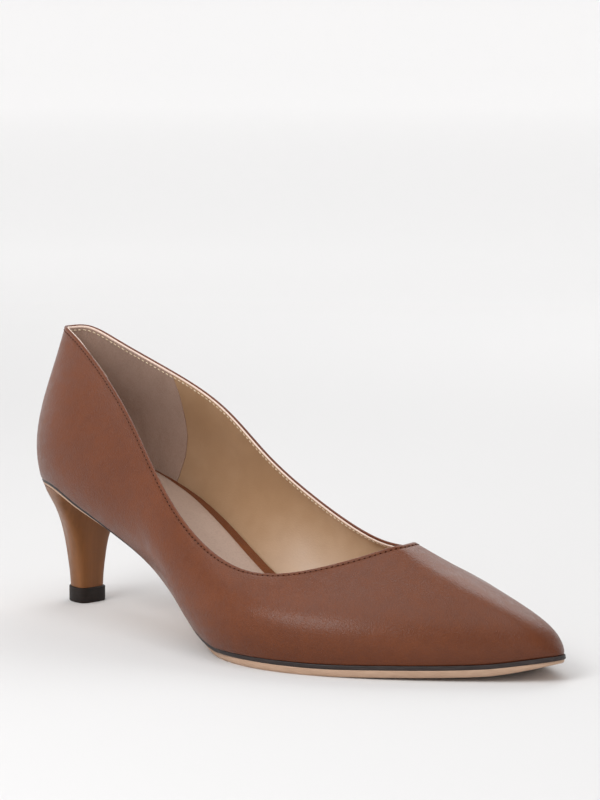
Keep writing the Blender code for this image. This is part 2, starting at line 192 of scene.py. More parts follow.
# A key says how far round the shoe a place is. The power gives the short gaps at the ends more room.
KEY_POWER = 0.6
KEYS = np.concatenate([[0.0], np.cumsum(chords**KEY_POWER)])
TOE_KEY = KEYS[len(FEATHER) - 1]
ROUND = KEYS[-1]
FEATHER_X = closed_line(KEYS, feather_x)
FEATHER_Y = closed_line(KEYS, feather_y)
lift = open_line(station(PROFILE[:, 0]), PROFILE[:, 1])
topline_x = station(round_trip(TOPLINE[:, 0], TOPLINE[:, 0]))
topline_y = round_trip(-TOPLINE[:, 1], TOPLINE[:, 2]) * BALL_WIDTH
TOPLINE_X = closed_line(KEYS, topline_x)
TOPLINE_Y = closed_line(KEYS, swung(topline_x, topline_y, TOPLINE_SWING_FROM, TOPLINE_SWING))
TOPLINE_Z = closed_line(KEYS, round_trip(TOPLINE[:, 3], TOPLINE[:, 4]) * COLLAR_HEIGHT)
RIBS = RIBS * (BALL_WIDTH, COLLAR_HEIGHT, 1.0, BALL_WIDTH, COLLAR_HEIGHT)
rib_lines = [closed_line(KEYS, round_trip(RIBS[:, i], RIBS[:, i])) for i in range(5)]
EDGES = EDGES * BALL_WIDTH
edge_lines = [closed_line(KEYS, round_trip(EDGES[:, i], EDGES[:, i])) for i in range(3)]
print("the way round the last has", len(KEYS) - 1, "rows")


# %% Points on the last
def base_height(x):
    """Height of the feather edge over the floor."""
    return GROUND + lift(x) * (SEAT_HEIGHT - GROUND)


SMALL_STEP = 0.01


def outward(key):
    """Level direction out of the feather edge."""
    dx = FEATHER_X(key + SMALL_STEP) - FEATHER_X(key - SMALL_STEP)
    dy = FEATHER_Y(key + SMALL_STEP) - FEATHER_Y(key - SMALL_STEP)
    size = np.hypot(dx, dy)
    return dy / size, -dx / size


def outer_skin(key, rise):
    """Outside of the upper: key runs round the shoe, rise from feather to topline."""
    fx, fy = FEATHER_X(key), FEATHER_Y(key)
    foot = np.stack([fx, fy, base_height(fx)], -1)
    top = np.stack([TOPLINE_X(key), TOPLINE_Y(key), TOPLINE_Z(key)], -1)
    nx, ny = outward(key)
    side = np.stack([nx, ny, np.zeros_like(nx)], -1)
    up = np.array([0.0, 0.0, 1.0])
    swell_low, climb, lean, swell_high, drop = [line(key)[..., None] for line in rib_lines]
    low = foot + swell_low * side + climb * up
    high = top + lean * (foot - top) * np.array([1.0, 1.0, 0.0]) + swell_high * side - drop * up
    b = rise[..., None]
    a = 1 - b
    return a**3 * foot + 3 * a**2 * b * low + 3 * a * b**2 * high + b**3 * top


def skin_normal(key, rise):
    """Straight out of the upper."""
    around = outer_skin(key + 2 * SMALL_STEP, rise) - outer_skin(key - 2 * SMALL_STEP, rise)
    above = outer_skin(key, np.minimum(rise + SMALL_STEP, 1))
    under = outer_skin(key, np.maximum(rise - SMALL_STEP, 0))
    normal = np.cross(around, above - under)
    return normal / np.linalg.norm(normal, axis=-1, keepdims=True)


def skin(key, rise, depth):
    """The upper at a depth under its outside."""
    return outer_skin(key, rise) - np.asarray(depth)[..., None] * skin_normal(key, rise)


print("topline, back:", outer_skin(np.array([0.0]), np.array([1.0])).round(1)[0])


# %% Distances on the last
def rib_lengths(keys, count=81):
    """Length of each rib from the topline down, at evenly spread rises."""
    rises = np.linspace(1, 0, count)
    grid_rises = np.repeat(rises[:, None], len(keys), 1)
    points = outer_skin(np.repeat(keys[None], count, 0), grid_rises)
    steps = np.linalg.norm(np.diff(points, axis=0), axis=-1)
    return rises, np.concatenate([np.zeros((1, len(keys))), np.cumsum(steps, 0)])


def rise_below(keys, below):
    """The rise that lies so many millimetres below the topline, along the leather."""
    rises, lengths = rib_lengths(keys)
    found = [np.interp(below[:, i], lengths[:, i], rises) for i in range(len(keys))]
    return np.stack(found, 1)


def bottom_slope(x):
    """Rise of the bottom of the last over one millimetre."""
    return base_height(x + 0.5) - base_height(x - 0.5)


def layer_point(x, y, offset):
    """A point at an offset square to the bottom of the last."""
    slope = bottom_slope(x)
    size = np.sqrt(1 + slope**2)
    return np.stack([x - offset * slope / size, y, base_height(x) + offset / size], -1)


def spread_keys(splits):
    """Places round the shoe, the same number between every two rows."""
    parts = [np.linspace(a, b, splits, endpoint=False) for a, b in zip(KEYS[:-1], KEYS[1:])]
    return np.concatenate(parts)


rib_reach = rib_lengths(np.array([0.0, TOE_KEY]))[1][-1]
print("along the ribs in mm, back and toe:", rib_reach.round(1))

# %% [markdown]
# ## Camera, floor and light
# The photograph was taken from low in front, with a long lens, at about 46 degrees to the shoe.
# The camera stands there, aimed so that the whole shoe is in the picture.
# Product pictures are lit by large soft boxes on a pale sweep, so the lights are large area lights.
# A smaller box at the outer side makes the soft highlight along the front of the shoe. The paper
# gives off a little light of its own away from the shoe, in place of lamps for the background.

# %% Camera
camera_data = bpy.data.cameras.new("camera")
camera_data.lens = 146.0
camera_data.clip_start = 0.05
camera_data.clip_end = 60.0
camera = bpy.data.objects.new("camera", camera_data)
bpy.context.scene.collection.objects.link(camera)
CAMERA_PLACE = Vector((0.958, -0.8375, 0.2365))
CAMERA_TARGET = Vector((0.106, 0.0145, 0.088))


def face_towards(thing, target):
    thing.rotation_euler = (Vector(target) - thing.location).to_track_quat("-Z", "Y").to_euler()


camera.location = CAMERA_PLACE
face_towards(camera, CAMERA_TARGET)
bpy.context.scene.camera = camera
print("camera looks down by degrees:", round(math.degrees(math.asin(
    (CAMERA_PLACE - CAMERA_TARGET).normalized().z)), 2))

# %% Floor, a pale paper disc whose far rim curves up
FLOOR_RADIUS = 6.0
# each ring of the sweep: how many times wider than the last, and how many metres higher
SWEEP = ((1.10, 0.06), (1.07, 0.24), (1.035, 0.55), (1.0, 3.0))
floor_mesh = bmesh.new()
bmesh.ops.create_circle(floor_mesh, cap_ends=True, segments=96, radius=FLOOR_RADIUS)
rim_edges = [edge for edge in floor_mesh.edges if edge.is_boundary]
for grow, rise in SWEEP:
    made = bmesh.ops.extrude_edge_only(floor_mesh, edges=rim_edges)["geom"]
    fresh = [item for item in made if isinstance(item, bmesh.types.BMVert)]
    bmesh.ops.scale(floor_mesh, vec=(grow, grow, 1.0), verts=fresh)
    bmesh.ops.translate(floor_mesh, vec=(0, 0, rise), verts=fresh)
    rim_edges = [item for item in made if isinstance(item, bmesh.types.BMEdge)]
for face in floor_mesh.faces:
    face.smooth = True
floor_data = bpy.data.meshes.new("floor")
floor_mesh.to_mesh(floor_data)
floor_mesh.free()
floor = bpy.data.objects.new("floor", floor_data)
bpy.context.scene.collection.objects.link(floor)
print("floor laid at height", floor.location.z)

# %% Paper of the floor
GLOW_FROM, GLOW_TO, GLOW = 0.5, 1.9, 0.395
floor_finish = bpy.data.materials.new("floor_paper")
floor_finish.use_nodes = True
floor_shader = floor_finish.node_tree.nodes["Principled BSDF"]
floor_shader.inputs["Base Color"].default_value = (0.76, 0.755, 0.755, 1)
floor_shader.inputs["Roughness"].default_value = 0.95
floor_shader.inputs["Specular IOR Level"].default_value = 0.1
floor_shader.inputs["Emission Color"].default_value = (1.0, 0.995, 0.995, 1)
tree = floor_finish.node_tree
spot = tree.nodes.new("ShaderNodeTexCoord")
reach = tree.nodes.new("ShaderNodeVectorMath")
reach.operation = "LENGTH"
fade = tree.nodes.new("ShaderNodeMapRange")
fade.interpolation_type = "SMOOTHSTEP"
fade.inputs["From Min"].default_value = GLOW_FROM
fade.inputs["From Max"].default_value = GLOW_TO
fade.inputs["To Min"].default_value = 0.0
fade.inputs["To Max"].default_value = GLOW
tree.links.new(spot.outputs["Object"], reach.inputs[0])
tree.links.new(reach.outputs["Value"], fade.inputs["Value"])
tree.links.new(fade.outputs["Result"], floor_shader.inputs["Emission Strength"])
floor_data.materials.append(floor_finish)
print("paper:", floor_finish.name)


# %% Lights
def soft_box(name, place, target, width, height, power):
    data = bpy.data.lights.new(name, "AREA")
    data.shape = "RECTANGLE"
    data.size, data.size_y = width, height
    data.energy = power
    lamp = bpy.data.objects.new(name, data)
    lamp.location = place
    face_towards(lamp, target)
    bpy.context.scene.collection.objects.link(lamp)


world = bpy.data.worlds.new("studio")
world.use_nodes = True
room = world.node_tree.nodes["Background"]
room.inputs["Color"].default_value = (1.0, 0.998, 0.996, 1)
room.inputs["Strength"].default_value = 0.50
bpy.context.scene.world = world
bpy.context.scene.view_settings.view_transform = "Standard"
SHOE_MIDDLE = (0.10, 0.0, 0.04)
VAMP_MIDDLE = (0.17, -0.035, 0.02)
soft_box("overhead_box", (0.02, -0.24, 1.32), SHOE_MIDDLE, 1.15, 0.85, 4.95)
soft_box("back_box", (-0.36, 0.92, 0.95), SHOE_MIDDLE, 0.9, 0.7, 4.6)
soft_box("side_box", (0.135, -0.873, 0.81), VAMP_MIDDLE, 0.62, 0.42, 5.3)

# %% [markdown]
# ## Finishes
# Leather is a mat of fibres with a creased skin. Its look has three scales: a fine pebble grain
# that breaks up the highlights, soft cloudy patches where the dye took more or less, and a darker
# burnish where a maker rubs polish in, at the toe and along the sole.
# The grain and the clouds are node groups, because several leathers of this shoe use them.


# %% Node helpers
def new_finish(name):
    finish = bpy.data.materials.new(name)
    finish.use_nodes = True
    return finish, finish.node_tree, finish.node_tree.nodes["Principled BSDF"]


def add_node(tree, kind, inputs=None, **settings):
    node = tree.nodes.new(kind)
    for key, value in settings.items():
        setattr(node, key, value)
    for key, value in (inputs or {}).items():
        if hasattr(value, "is_output"):
            tree.links.new(value, node.inputs[key])
        else:
            node.inputs[key].default_value = value
    return node


def maths(tree, operation, a, b):
    return add_node(tree, "ShaderNodeMath", {0: a, 1: b}, operation=operation).outputs[0]


def vector_maths(tree, operation, a, b):
    return add_node(tree, "ShaderNodeVectorMath", {0: a, 1: b}, operation=operation).outputs[0]


def noise(tree, place, scale, detail, roughness=0.5):
    """Cloudy noise, the base of most of the finishes."""
    node = add_node(tree, "ShaderNodeTexNoise", {
        "Vector": place, "Scale": scale, "Detail": detail, "Roughness": roughness})
    return node.outputs


def painted(tree, name):
    """A mask that is kept at the vertices of a piece's own mesh."""
    return add_node(tree, "ShaderNodeAttribute", attribute_name=name).outputs["Fac"]


def ramp(tree, value, low, high, out_low=0.0, out_high=1.0):
    """Maps low..high to out_low..out_high, smoothly, and holds it outside."""
    node = add_node(tree, "ShaderNodeMapRange", {
        "Value": value, "From Min": low, "From Max": high, "To Min": out_low, "To Max": out_high,
    }, interpolation_type="SMOOTHSTEP")
    return node.outputs["Result"]


def blend(tree, share, a, b):
    """Mixes two colours by a share that changes over the surface."""
    node = add_node(tree, "ShaderNodeMix", data_type="RGBA", blend_type="MIX")
    for index, value in ((0, share), (6, a), (7, b)):
        if hasattr(value, "is_output"):
            tree.links.new(value, node.inputs[index])
        else:
            node.inputs[index].default_value = value if index == 0 else (*value, 1.0)
    return node.outputs[2]


def group(name, inputs, outputs):
    tree = bpy.data.node_groups.new(name, "ShaderNodeTree")
    for socket, kind in inputs:
        tree.interface.new_socket(socket, in_out="INPUT", socket_type=kind)
    for socket in outputs:
        tree.interface.new_socket(socket, in_out="OUTPUT", socket_type="NodeSocketFloat")
    return tree, tree.nodes.new("NodeGroupInput"), tree.nodes.new("NodeGroupOutput")


def use_group(tree, shared, **values):
    node = tree.nodes.new("ShaderNodeGroup")
    node.node_tree = shared
    for key, value in values.items():
        if hasattr(value, "is_output"):
            tree.links.new(value, node.inputs[key])
        else:
            node.inputs[key].default_value = value
    return node


def bump(tree, shader, height, strength, distance, socket="Normal"):
    """Relief of the surface, or of the coat over it."""
    node = add_node(tree, "ShaderNodeBump", {
        "Strength": strength, "Distance": distance, "Height": height})
    tree.links.new(node.outputs["Normal"], shader.inputs[socket])


def object_place(tree):
    return tree.nodes.new("ShaderNodeTexCoord").outputs["Object"]


def set_shader(shader, **values):
    for key, value in values.items():
        shader.inputs[key.replace("_", " ")].default_value = value


print("node helpers ready")

# %% Pebble grain of the leather
grain, g_in, g_out = group("pebble_grain", [
    ("Vector", "NodeSocketVector"), ("Cells", "NodeSocketFloat"),
], ["Height", "Valleys"])
warp = noise(grain, g_in.outputs["Vector"], 260.0, 2.0)["Color"]
pushed = vector_maths(grain, "MULTIPLY", warp, (0.0016,) * 3)
moved = vector_maths(grain, "ADD", g_in.outputs["Vector"], pushed)
cells = add_node(grain, "ShaderNodeTexVoronoi", {
    "Vector": moved, "Scale": g_in.outputs["Cells"]}, feature="SMOOTH_F1")
cells.inputs["Smoothness"].default_value = 0.6
pebbles = ramp(grain, cells.outputs["Distance"], 0.05, 0.75, 1.0, 0.0)
fine = noise(grain, g_in.outputs["Vector"], 3200.0, 2.0)["Fac"]
fine_share = maths(grain, "MULTIPLY", fine, 0.3)
grain.links.new(maths(grain, "ADD", pebbles, fine_share), g_out.inputs["Height"])
grain.links.new(ramp(grain, cells.outputs["Distance"], 0.35, 0.8), g_out.inputs["Valleys"])
print("pebble grain has", len(grain.nodes), "nodes")

# %% Clouds of the dye
clouds, c_in, c_out = group("dye_clouds", [
    ("Vector", "NodeSocketVector"), ("Size", "NodeSocketFloat"),
], ["Broad", "Small"])
broad = noise(clouds, c_in.outputs["Vector"], c_in.outputs["Size"], 3.0, 0.55)["Fac"]
finer_scale = maths(clouds, "MULTIPLY", c_in.outputs["Size"], 9.0)
small = noise(clouds, c_in.outputs["Vector"], finer_scale, 4.0, 0.6)["Fac"]
clouds.links.new(ramp(clouds, broad, 0.30, 0.70), c_out.inputs["Broad"])
clouds.links.new(ramp(clouds, small, 0.25, 0.75), c_out.inputs["Small"])
print("dye clouds have", len(clouds.nodes), "nodes")


# %% [markdown]
# ### Brown upper leather
# Smooth calf, dyed cognac and rubbed with a darker polish. The base colour moves between lighter
# and darker patches, the valleys of the grain are a little darker, and the polish darkens the toe
# tip and the line above the sole. A thin coat gives the wax its own soft highlight over the grain.
# The wax has fine pores of its own, so the coat takes its relief from a noise, not from the grain.

# %% Brown leather
GRAIN_CELLS = 2300.0
GRAIN_DEPTH = 0.00010


def brown_leather(name, light, dark, burnish_ink_and_shade, roughness=0.40, coat=0.26):
    finish, tree, shader = new_finish(name)
    place = object_place(tree)
    dye = use_group(tree, clouds, Vector=place, Size=22.0)
    hide = use_group(tree, grain, Vector=place, Cells=GRAIN_CELLS)
    base = blend(tree, dye.outputs["Broad"], dark, light)
    speck = ramp(tree, dye.outputs["Small"], 0.0, 1.0, 0.25, 0.0)
    base = blend(tree, speck, base, burnish_ink_and_shade)
    valley = maths(tree, "MULTIPLY", hide.outputs["Valleys"], 0.28)
    base = blend(tree, valley, base, burnish_ink_and_shade)
    # A mask darkens the base: polish on the upper, ink and painted shade on the back strip's edges
    polish_ink_and_shade = maths(tree, "MULTIPLY", painted(tree, "polish_ink_and_shade"), 0.8)
    base = blend(tree, polish_ink_and_shade, base, burnish_ink_and_shade)
    tree.links.new(base, shader.inputs["Base Color"])
    rough = ramp(tree, dye.outputs["Small"], 0.0, 1.0, roughness - 0.05, roughness + 0.06)
    tree.links.new(rough, shader.inputs["Roughness"])
    set_shader(shader, Specular_IOR_Level=0.23, Coat_Weight=coat, Coat_Roughness=0.18)
    bump(tree, shader, hide.outputs["Height"], 0.7, GRAIN_DEPTH)
    pores = noise(tree, place, 1800.0, 1.0)["Fac"]
    bump(tree, shader, pores, 0.65, 2 * GRAIN_DEPTH, "Coat Normal")
    return finish


UPPER_LIGHT = (0.163, 0.0378, 0.0056)
UPPER_DARK = (0.142, 0.0326, 0.0048)
BURNISH = (0.080, 0.019, 0.006)
# Back strip's cut edges: dark ink, made darker still as painted shade
EDGE_INK_AND_SHADE = (0.03, 0.014, 0.010)
upper_leather_finish = brown_leather("upper_leather_finish", UPPER_LIGHT, UPPER_DARK, BURNISH)
insole_finish = brown_leather("insole_cover_finish", (0.205, 0.060, 0.018), (0.160, 0.045, 0.013),
                              BURNISH, roughness=0.5, coat=0.05)
strip_finish = brown_leather("strip_finish", UPPER_LIGHT, UPPER_DARK, EDGE_INK_AND_SHADE)
print("brown leathers made")


# %% [markdown]
# ### Lining, heel grip, footbed
# The lining is a thin smooth gold-tan leather whose cut edge shows as a cream line along the
# topline. The heel grip is the same kind of skin turned flesh side out: a greyish nap that
# holds the heel. The footbed is a pale pinkish leather over a thin foam.

# %% Lining leather
def lining_leather():
    finish, tree, shader = new_finish("lining_finish")
    place = object_place(tree)
    dye = use_group(tree, clouds, Vector=place, Size=16.0)
    hide = use_group(tree, grain, Vector=place, Cells=1900.0)
    base = blend(tree, dye.outputs["Broad"], (0.431, 0.262, 0.142), (0.520, 0.338, 0.205))
    speck = ramp(tree, dye.outputs["Small"], 0.0, 1.0, 0.22, 0.0)
    base = blend(tree, speck, base, (0.35, 0.20, 0.100))
    cut = ramp(tree, painted(tree, "below"), 0.0006, 0.0010, 1.0, 0.0)
    base = blend(tree, cut, base, (0.90, 0.70, 0.59))
    tree.links.new(base, shader.inputs["Base Color"])
    rough = ramp(tree, dye.outputs["Small"], 0.0, 1.0, 0.38, 0.48)
    tree.links.new(rough, shader.inputs["Roughness"])
    set_shader(shader, Specular_IOR_Level=0.5, Coat_Weight=0.25, Coat_Roughness=0.32)
    bump(tree, shader, hide.outputs["Height"], 0.35, 0.00005)
    return finish


lining_finish = lining_leather()
print("lining:", lining_finish.name)


# %% Suede of the heel grip
def suede():
    finish, tree, shader = new_finish("heel_grip_finish")
    place = object_place(tree)
    stretched = add_node(tree, "ShaderNodeMapping", {"Vector": place, "Scale": (1.0, 1.0, 0.45)})
    nap = noise(tree, stretched.outputs[0], 2600.0, 3.0, 0.7)["Fac"]
    stroke = noise(tree, stretched.outputs[0], 170.0, 4.0, 0.65)["Fac"]
    fibre = ramp(tree, nap, 0.3, 0.7)
    patch = ramp(tree, stroke, 0.2, 0.8)
    base = blend(tree, patch, (0.339, 0.220, 0.168), (0.414, 0.280, 0.220))
    lighter = maths(tree, "MULTIPLY", fibre, 0.5)
    base = blend(tree, lighter, base, (0.484, 0.352, 0.284))
    tree.links.new(base, shader.inputs["Base Color"])
    set_shader(shader, Roughness=0.95, Specular_IOR_Level=0.12)
    set_shader(shader, Sheen_Weight=0.35, Sheen_Roughness=0.5)
    shader.inputs["Sheen Tint"].default_value = (0.9, 0.82, 0.78, 1)
    bump(tree, shader, maths(tree, "ADD", fibre, patch), 0.6, 0.00008)
    return finish


grip_finish = suede()
print("heel grip:", grip_finish.name)


# %% Footbed leather
def footbed_leather():
    finish, tree, shader = new_finish("sock_finish")
    place = object_place(tree)
    dye = use_group(tree, clouds, Vector=place, Size=30.0)
    hide = use_group(tree, grain, Vector=place, Cells=1500.0)
    base = blend(tree, dye.outputs["Broad"], (0.475, 0.345, 0.275), (0.550, 0.410, 0.335))
    valley = maths(tree, "MULTIPLY", hide.outputs["Valleys"], 0.3)
    base = blend(tree, valley, base, (0.37, 0.25, 0.195))
    tree.links.new(base, shader.inputs["Base Color"])
    rough = ramp(tree, dye.outputs["Small"], 0.0, 1.0, 0.50, 0.62)
    tree.links.new(rough, shader.inputs["Roughness"])
    set_shader(shader, Specular_IOR_Level=0.4, Sheen_Weight=0.08)
    bump(tree, shader, hide.outputs["Height"], 0.4, 0.00006)
    return finish


sock_finish = footbed_leather()
print("footbed:", sock_finish.name)


# %% [markdown]
# ### Sole, heel and threads
# The black line is the painted edge of the midsole. Under it the outsole's edge is bare tan,
# trimmed smooth, with faint lines along it. The heel is covered in a plainer, duller brown than the
# upper. The threads are thin ropes, so their finish changes over very small distances.

# %% Sole and heel finishes
LEVEL_LINES = (160.0, 160.0, 1400.0)
UPRIGHT_LINES = (420.0, 420.0, 14.0)


def edge_finish(name, light, dark, roughness, streak=LEVEL_LINES, coat=0.0):
    """A smooth trimmed edge or cover. streak sets how often its faint lines come along X, Y, Z."""
    finish, tree, shader = new_finish(name)
    place = object_place(tree)
    pulled = add_node(tree, "ShaderNodeMapping", {"Vector": place, "Scale": streak})
    lines = noise(tree, pulled.outputs[0], 1.0, 4.0, 0.6)["Fac"]
    dye = use_group(tree, clouds, Vector=place, Size=40.0)
    line = ramp(tree, lines, 0.3, 0.7)
    base = blend(tree, line, dark, light)
    speck = ramp(tree, dye.outputs["Small"], 0.0, 1.0, 0.25, 0.0)
    base = blend(tree, speck, base, dark)
    tree.links.new(base, shader.inputs["Base Color"])
    rough = ramp(tree, dye.outputs["Small"], 0.0, 1.0, roughness - 0.05, roughness + 0.07)
    tree.links.new(rough, shader.inputs["Roughness"])
    set_shader(shader, Specular_IOR_Level=0.28, Coat_Weight=coat, Coat_Roughness=0.3)
    bump(tree, shader, line, 0.4, 0.00003)
    return finish


midsole_finish = edge_finish("midsole_finish", (0.044, 0.034, 0.033), (0.026, 0.019, 0.018), 0.45)
outsole_finish = edge_finish("outsole_finish", (0.55, 0.370, 0.260), (0.46, 0.300, 0.205), 0.5)
heel_finish = edge_finish("heel_finish", (0.235, 0.090, 0.026), (0.185, 0.070, 0.020), 0.40,
                          streak=UPRIGHT_LINES, coat=0.04)
tip_finish = edge_finish("heel_tip_finish", (0.020, 0.012, 0.009), (0.011, 0.007, 0.006), 0.6)
print("finishes so far:", len(bpy.data.materials))


# %% Threads, and the painted shade of the needle holes
def thread(name, light, dark, shine=0.25):
    finish, tree, shader = new_finish(name)
    place = object_place(tree)
    twist = noise(tree, place, 2400.0, 2.0)["Fac"]
    share = ramp(tree, twist, 0.35, 0.65)
    tree.links.new(blend(tree, share, dark, light), shader.inputs["Base Color"])
    set_shader(shader, Roughness=0.7, Specular_IOR_Level=shine)
    bump(tree, shader, share, 0.5, 0.00006)
    return finish


brown_thread = thread("brown_thread_finish", (0.185, 0.066, 0.032), (0.110, 0.036, 0.016))
# Painted shade: the needle holes are dark only because light does not reach into them
hole_shade = thread("needle_hole_shade_finish", (0.045, 0.010, 0.004), (0.024, 0.006, 0.003), shine=0.05)
pale_thread = thread("pale_thread_finish", (0.86, 0.72, 0.54), (0.58, 0.45, 0.30))
print("finishes:", len(bpy.data.materials))

# %% [markdown]
# ## Pieces
# Each piece starts from a flat grid, a circle or small spheres. The grid's vertices are pulled
# onto the last, as a shoemaker pulls a flat hide over it, and the seam that closes it is welded.


# %% Helpers for pieces
WELD = 1e-7


def pull_grid(points, close_columns=False, close_rows=False, marks=None):
    """A flat grid of squares with its vertices pulled to rows of points, in mm."""
    marks = dict(marks or {})
    if close_columns:
        points = np.concatenate([points, points[:, :1]], 1)
        marks = {k: np.concatenate([v, v[:, :1]], 1) for k, v in marks.items()}
    if close_rows:
        points = np.concatenate([points, points[:1]], 0)
        marks = {k: np.concatenate([v, v[:1]], 0) for k, v in marks.items()}
    rows, columns = points.shape[:2]
    mesh = bmesh.new()
    bmesh.ops.create_grid(mesh, x_segments=columns - 1, y_segments=rows - 1, size=1.0)
    mesh.verts.ensure_lookup_table()
    for vert, place in zip(mesh.verts, points.reshape(-1, 3)):
        vert.co = place * MM
    for name, values in marks.items():
        layer = mesh.verts.layers.float.new(name)
        for vert, value in zip(mesh.verts, values.ravel()):
            vert[layer] = value
    bmesh.ops.remove_doubles(mesh, verts=mesh.verts, dist=WELD)
    return mesh


def close_ends(mesh):
    """Fills the openings that are left at the ends of a piece."""
    rims = [edge for edge in mesh.edges if edge.is_boundary]
    bmesh.ops.holes_fill(mesh, edges=rims, sides=0)


def make_piece(name, mesh, finish, smooth=50, levels=0):
    bmesh.ops.recalc_face_normals(mesh, faces=mesh.faces)
    data = bpy.data.meshes.new(name)
    mesh.to_mesh(data)
    mesh.free()
    data.materials.append(finish)
    data.shade_smooth()
    if smooth:
        data.set_sharp_from_angle(angle=math.radians(smooth))
    piece = bpy.data.objects.new(name, data)
    bpy.context.scene.collection.objects.link(piece)
    if levels:
        finer = piece.modifiers.new("finer", "SUBSURF")
        finer.levels = levels
        finer.render_levels = levels
    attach(piece, "root")
    print(name, "has", len(data.polygons), "faces")
    return piece


print("helpers for pieces ready")

# %% Helpers for the leather
RIDGE_REACH, RIDGE_PASSES, RIM_SHARE = 2.2, 60, 0.12


def ease_toe(points, keys, rises):
    """Rounds the ridge over the toes, where the ribs of the two sides meet, and spares both rims."""
    share = 0.5 * np.exp(-((keys - TOE_KEY) / RIDGE_REACH)**2)
    for from_rim in (rises, 1 - rises):
        share = share * np.clip(from_rim / RIM_SHARE, 0, 1)
    for _ in range(RIDGE_PASSES):
        middle = (np.roll(points, 1, 1) + np.roll(points, -1, 1)) / 2
        points = points + share[..., None] * (middle - points)
    return points


def rib_rows(keys, rows):
    """Rows of a leather piece. Each row is (mm below the topline, share of what is left, depth)."""
    _, lengths = rib_lengths(keys)
    below = np.stack([near + share * (lengths[-1] - near) for near, share, _ in rows])
    depth = np.stack([np.full(len(keys), row[2]) for row in rows])
    return below, depth, np.repeat(keys[None], len(rows), 0)


print("the ridge over the toes is eased in", RIDGE_PASSES, "passes")

# %% [markdown]
# ### Upper leather
# The outer leather is folded over at the topline, so its edge is a rounded roll about 1.5 mm wide,
# a little proud of the hide, with the stitch line pulled in just below it. Here each rib carries rows
# that follow that fold exactly, then run down inside as the back of the leather.
# The soft creases are listed one by one: the leather wrinkles where it was pulled over the forefoot.
# The polish is a mask: it is rubbed in at the toe, above the sole and along the stitches.

# %% Creases
# Each runs from one place to another. A place is mm along the shoe and mm below the topline.
# side: -1 lateral, 1 medial. Depth and width are in mm.
CREASES = (
    # along, below, along, below, side, depth, width
    (128.0, 6.0, 142.0, 26.0, -1, 0.16, 4.0),
    (139.0, 5.0, 151.0, 24.0, -1, 0.12, 3.5),
    (151.0, 7.0, 160.0, 20.0, -1, 0.08, 3.5),
    (122.0, 8.0, 138.0, 24.0, 1, 0.14, 4.0),
    (136.0, 6.0, 148.0, 22.0, 1, 0.10, 3.5),
    (60.0, 26.0, 92.0, 30.0, -1, 0.18, 6.0),
    (58.0, 24.0, 90.0, 28.0, 1, 0.18, 6.0),
    (6.0, 30.0, 30.0, 38.0, -1, 0.10, 5.0),
)


def crease_depth(points, below):
    """How deep the listed creases press the leather in, with a low swell beside each."""
    total = np.zeros_like(below)
    for a_x, a_b, b_x, b_b, side, depth, width in CREASES:
        run = np.array([b_x - a_x, b_b - a_b])
        away = np.stack([points[..., 0] - a_x, below - a_b], -1)
        share = np.clip((away @ run) / (run @ run), 0, 1)
        gap = np.linalg.norm(away - share[..., None] * run, axis=-1) / width
        here = np.sign(points[..., 1] - 1e-6) == side
        fade = np.sin(np.pi * np.clip(share, 0.05, 0.95))
        total += here * fade * depth * (np.exp(-gap**2) - 0.5 * np.exp(-(gap / 1.9)**2))
    return total


print("creases:", len(CREASES))

# %% Upper leather
leather_keys = spread_keys(8)
LEATHER = 0.95
FOLD_END = 5.2
# Rows as rib_rows takes them, from the outside over the roll to the back of the leather
fold = [(4.2, 0, 0.0), (3.2, 0, 0.01), (2.6, 0, 0.04), (2.15, 0, 0.09), (1.7, 0, 0.12),
        (1.35, 0, 0.02), (1.05, 0, -0.07), (0.7, 0, -0.09), (0.38, 0, -0.04), (0.12, 0, 0.10),
        (0.0, 0, 0.34), (0.0, 0, 0.62), (0.14, 0, 0.84), (0.5, 0, LEATHER), (1.6, 0, LEATHER),
        (3.4, 0, LEATHER)]
outside = [(FOLD_END, share, 0.0) for share in np.linspace(1, 0, 46)]
inside = [(FOLD_END, share, LEATHER) for share in np.linspace(0, 1, 14)]
below, depth, key_grid = rib_rows(leather_keys, outside + fold + inside)
rises = rise_below(leather_keys, below)
flat = outer_skin(key_grid, rises)
depth = depth + np.where(depth < LEATHER, crease_depth(flat, below), 0)
points = ease_toe(skin(key_grid, rises, depth), key_grid, rises)
TUCK = 0.2
points[[0, -1], :, 2] -= TUCK
print("rows of leather:", len(points), "with", points.shape[1], "points each")

# %% Polish on the upper leather
TOE_RUB_FROM, TOE_RUB_REACH = 196.0, 40.0
SOLE_RUB_HEIGHT = 9.0
STITCH_RUB_AT, STITCH_RUB_HALF = 1.7, 0.5
over_sole = flat[..., 2] - base_height(flat[..., 0])
toe_rub = np.clip((flat[..., 0] - TOE_RUB_FROM) / TOE_RUB_REACH, 0, 1)**1.6 * 0.36
sole_rub = np.clip(1 - over_sole / SOLE_RUB_HEIGHT, 0, 1)**1.5 * 0.45
stitch_rub = np.exp(-((below - STITCH_RUB_AT) / STITCH_RUB_HALF)**2) * 0.35
polish_ink_and_shade = np.clip(toe_rub + sole_rub + stitch_rub, 0, 1)
marks = {"polish_ink_and_shade": polish_ink_and_shade, "below": below * MM}
mesh = pull_grid(points, close_columns=True, close_rows=True, marks=marks)
upper_leather = make_piece("upper_leather", mesh, upper_leather_finish, smooth=0, levels=1)

# %% [markdown]
# ### Lining
# The lining is glued behind the leather and trimmed at the top, where its cut edge shows.
# It stands as a thin closed skin 0.7 mm thick just inside the leather. By hand, the knife runs a
# little lower along the outer side.

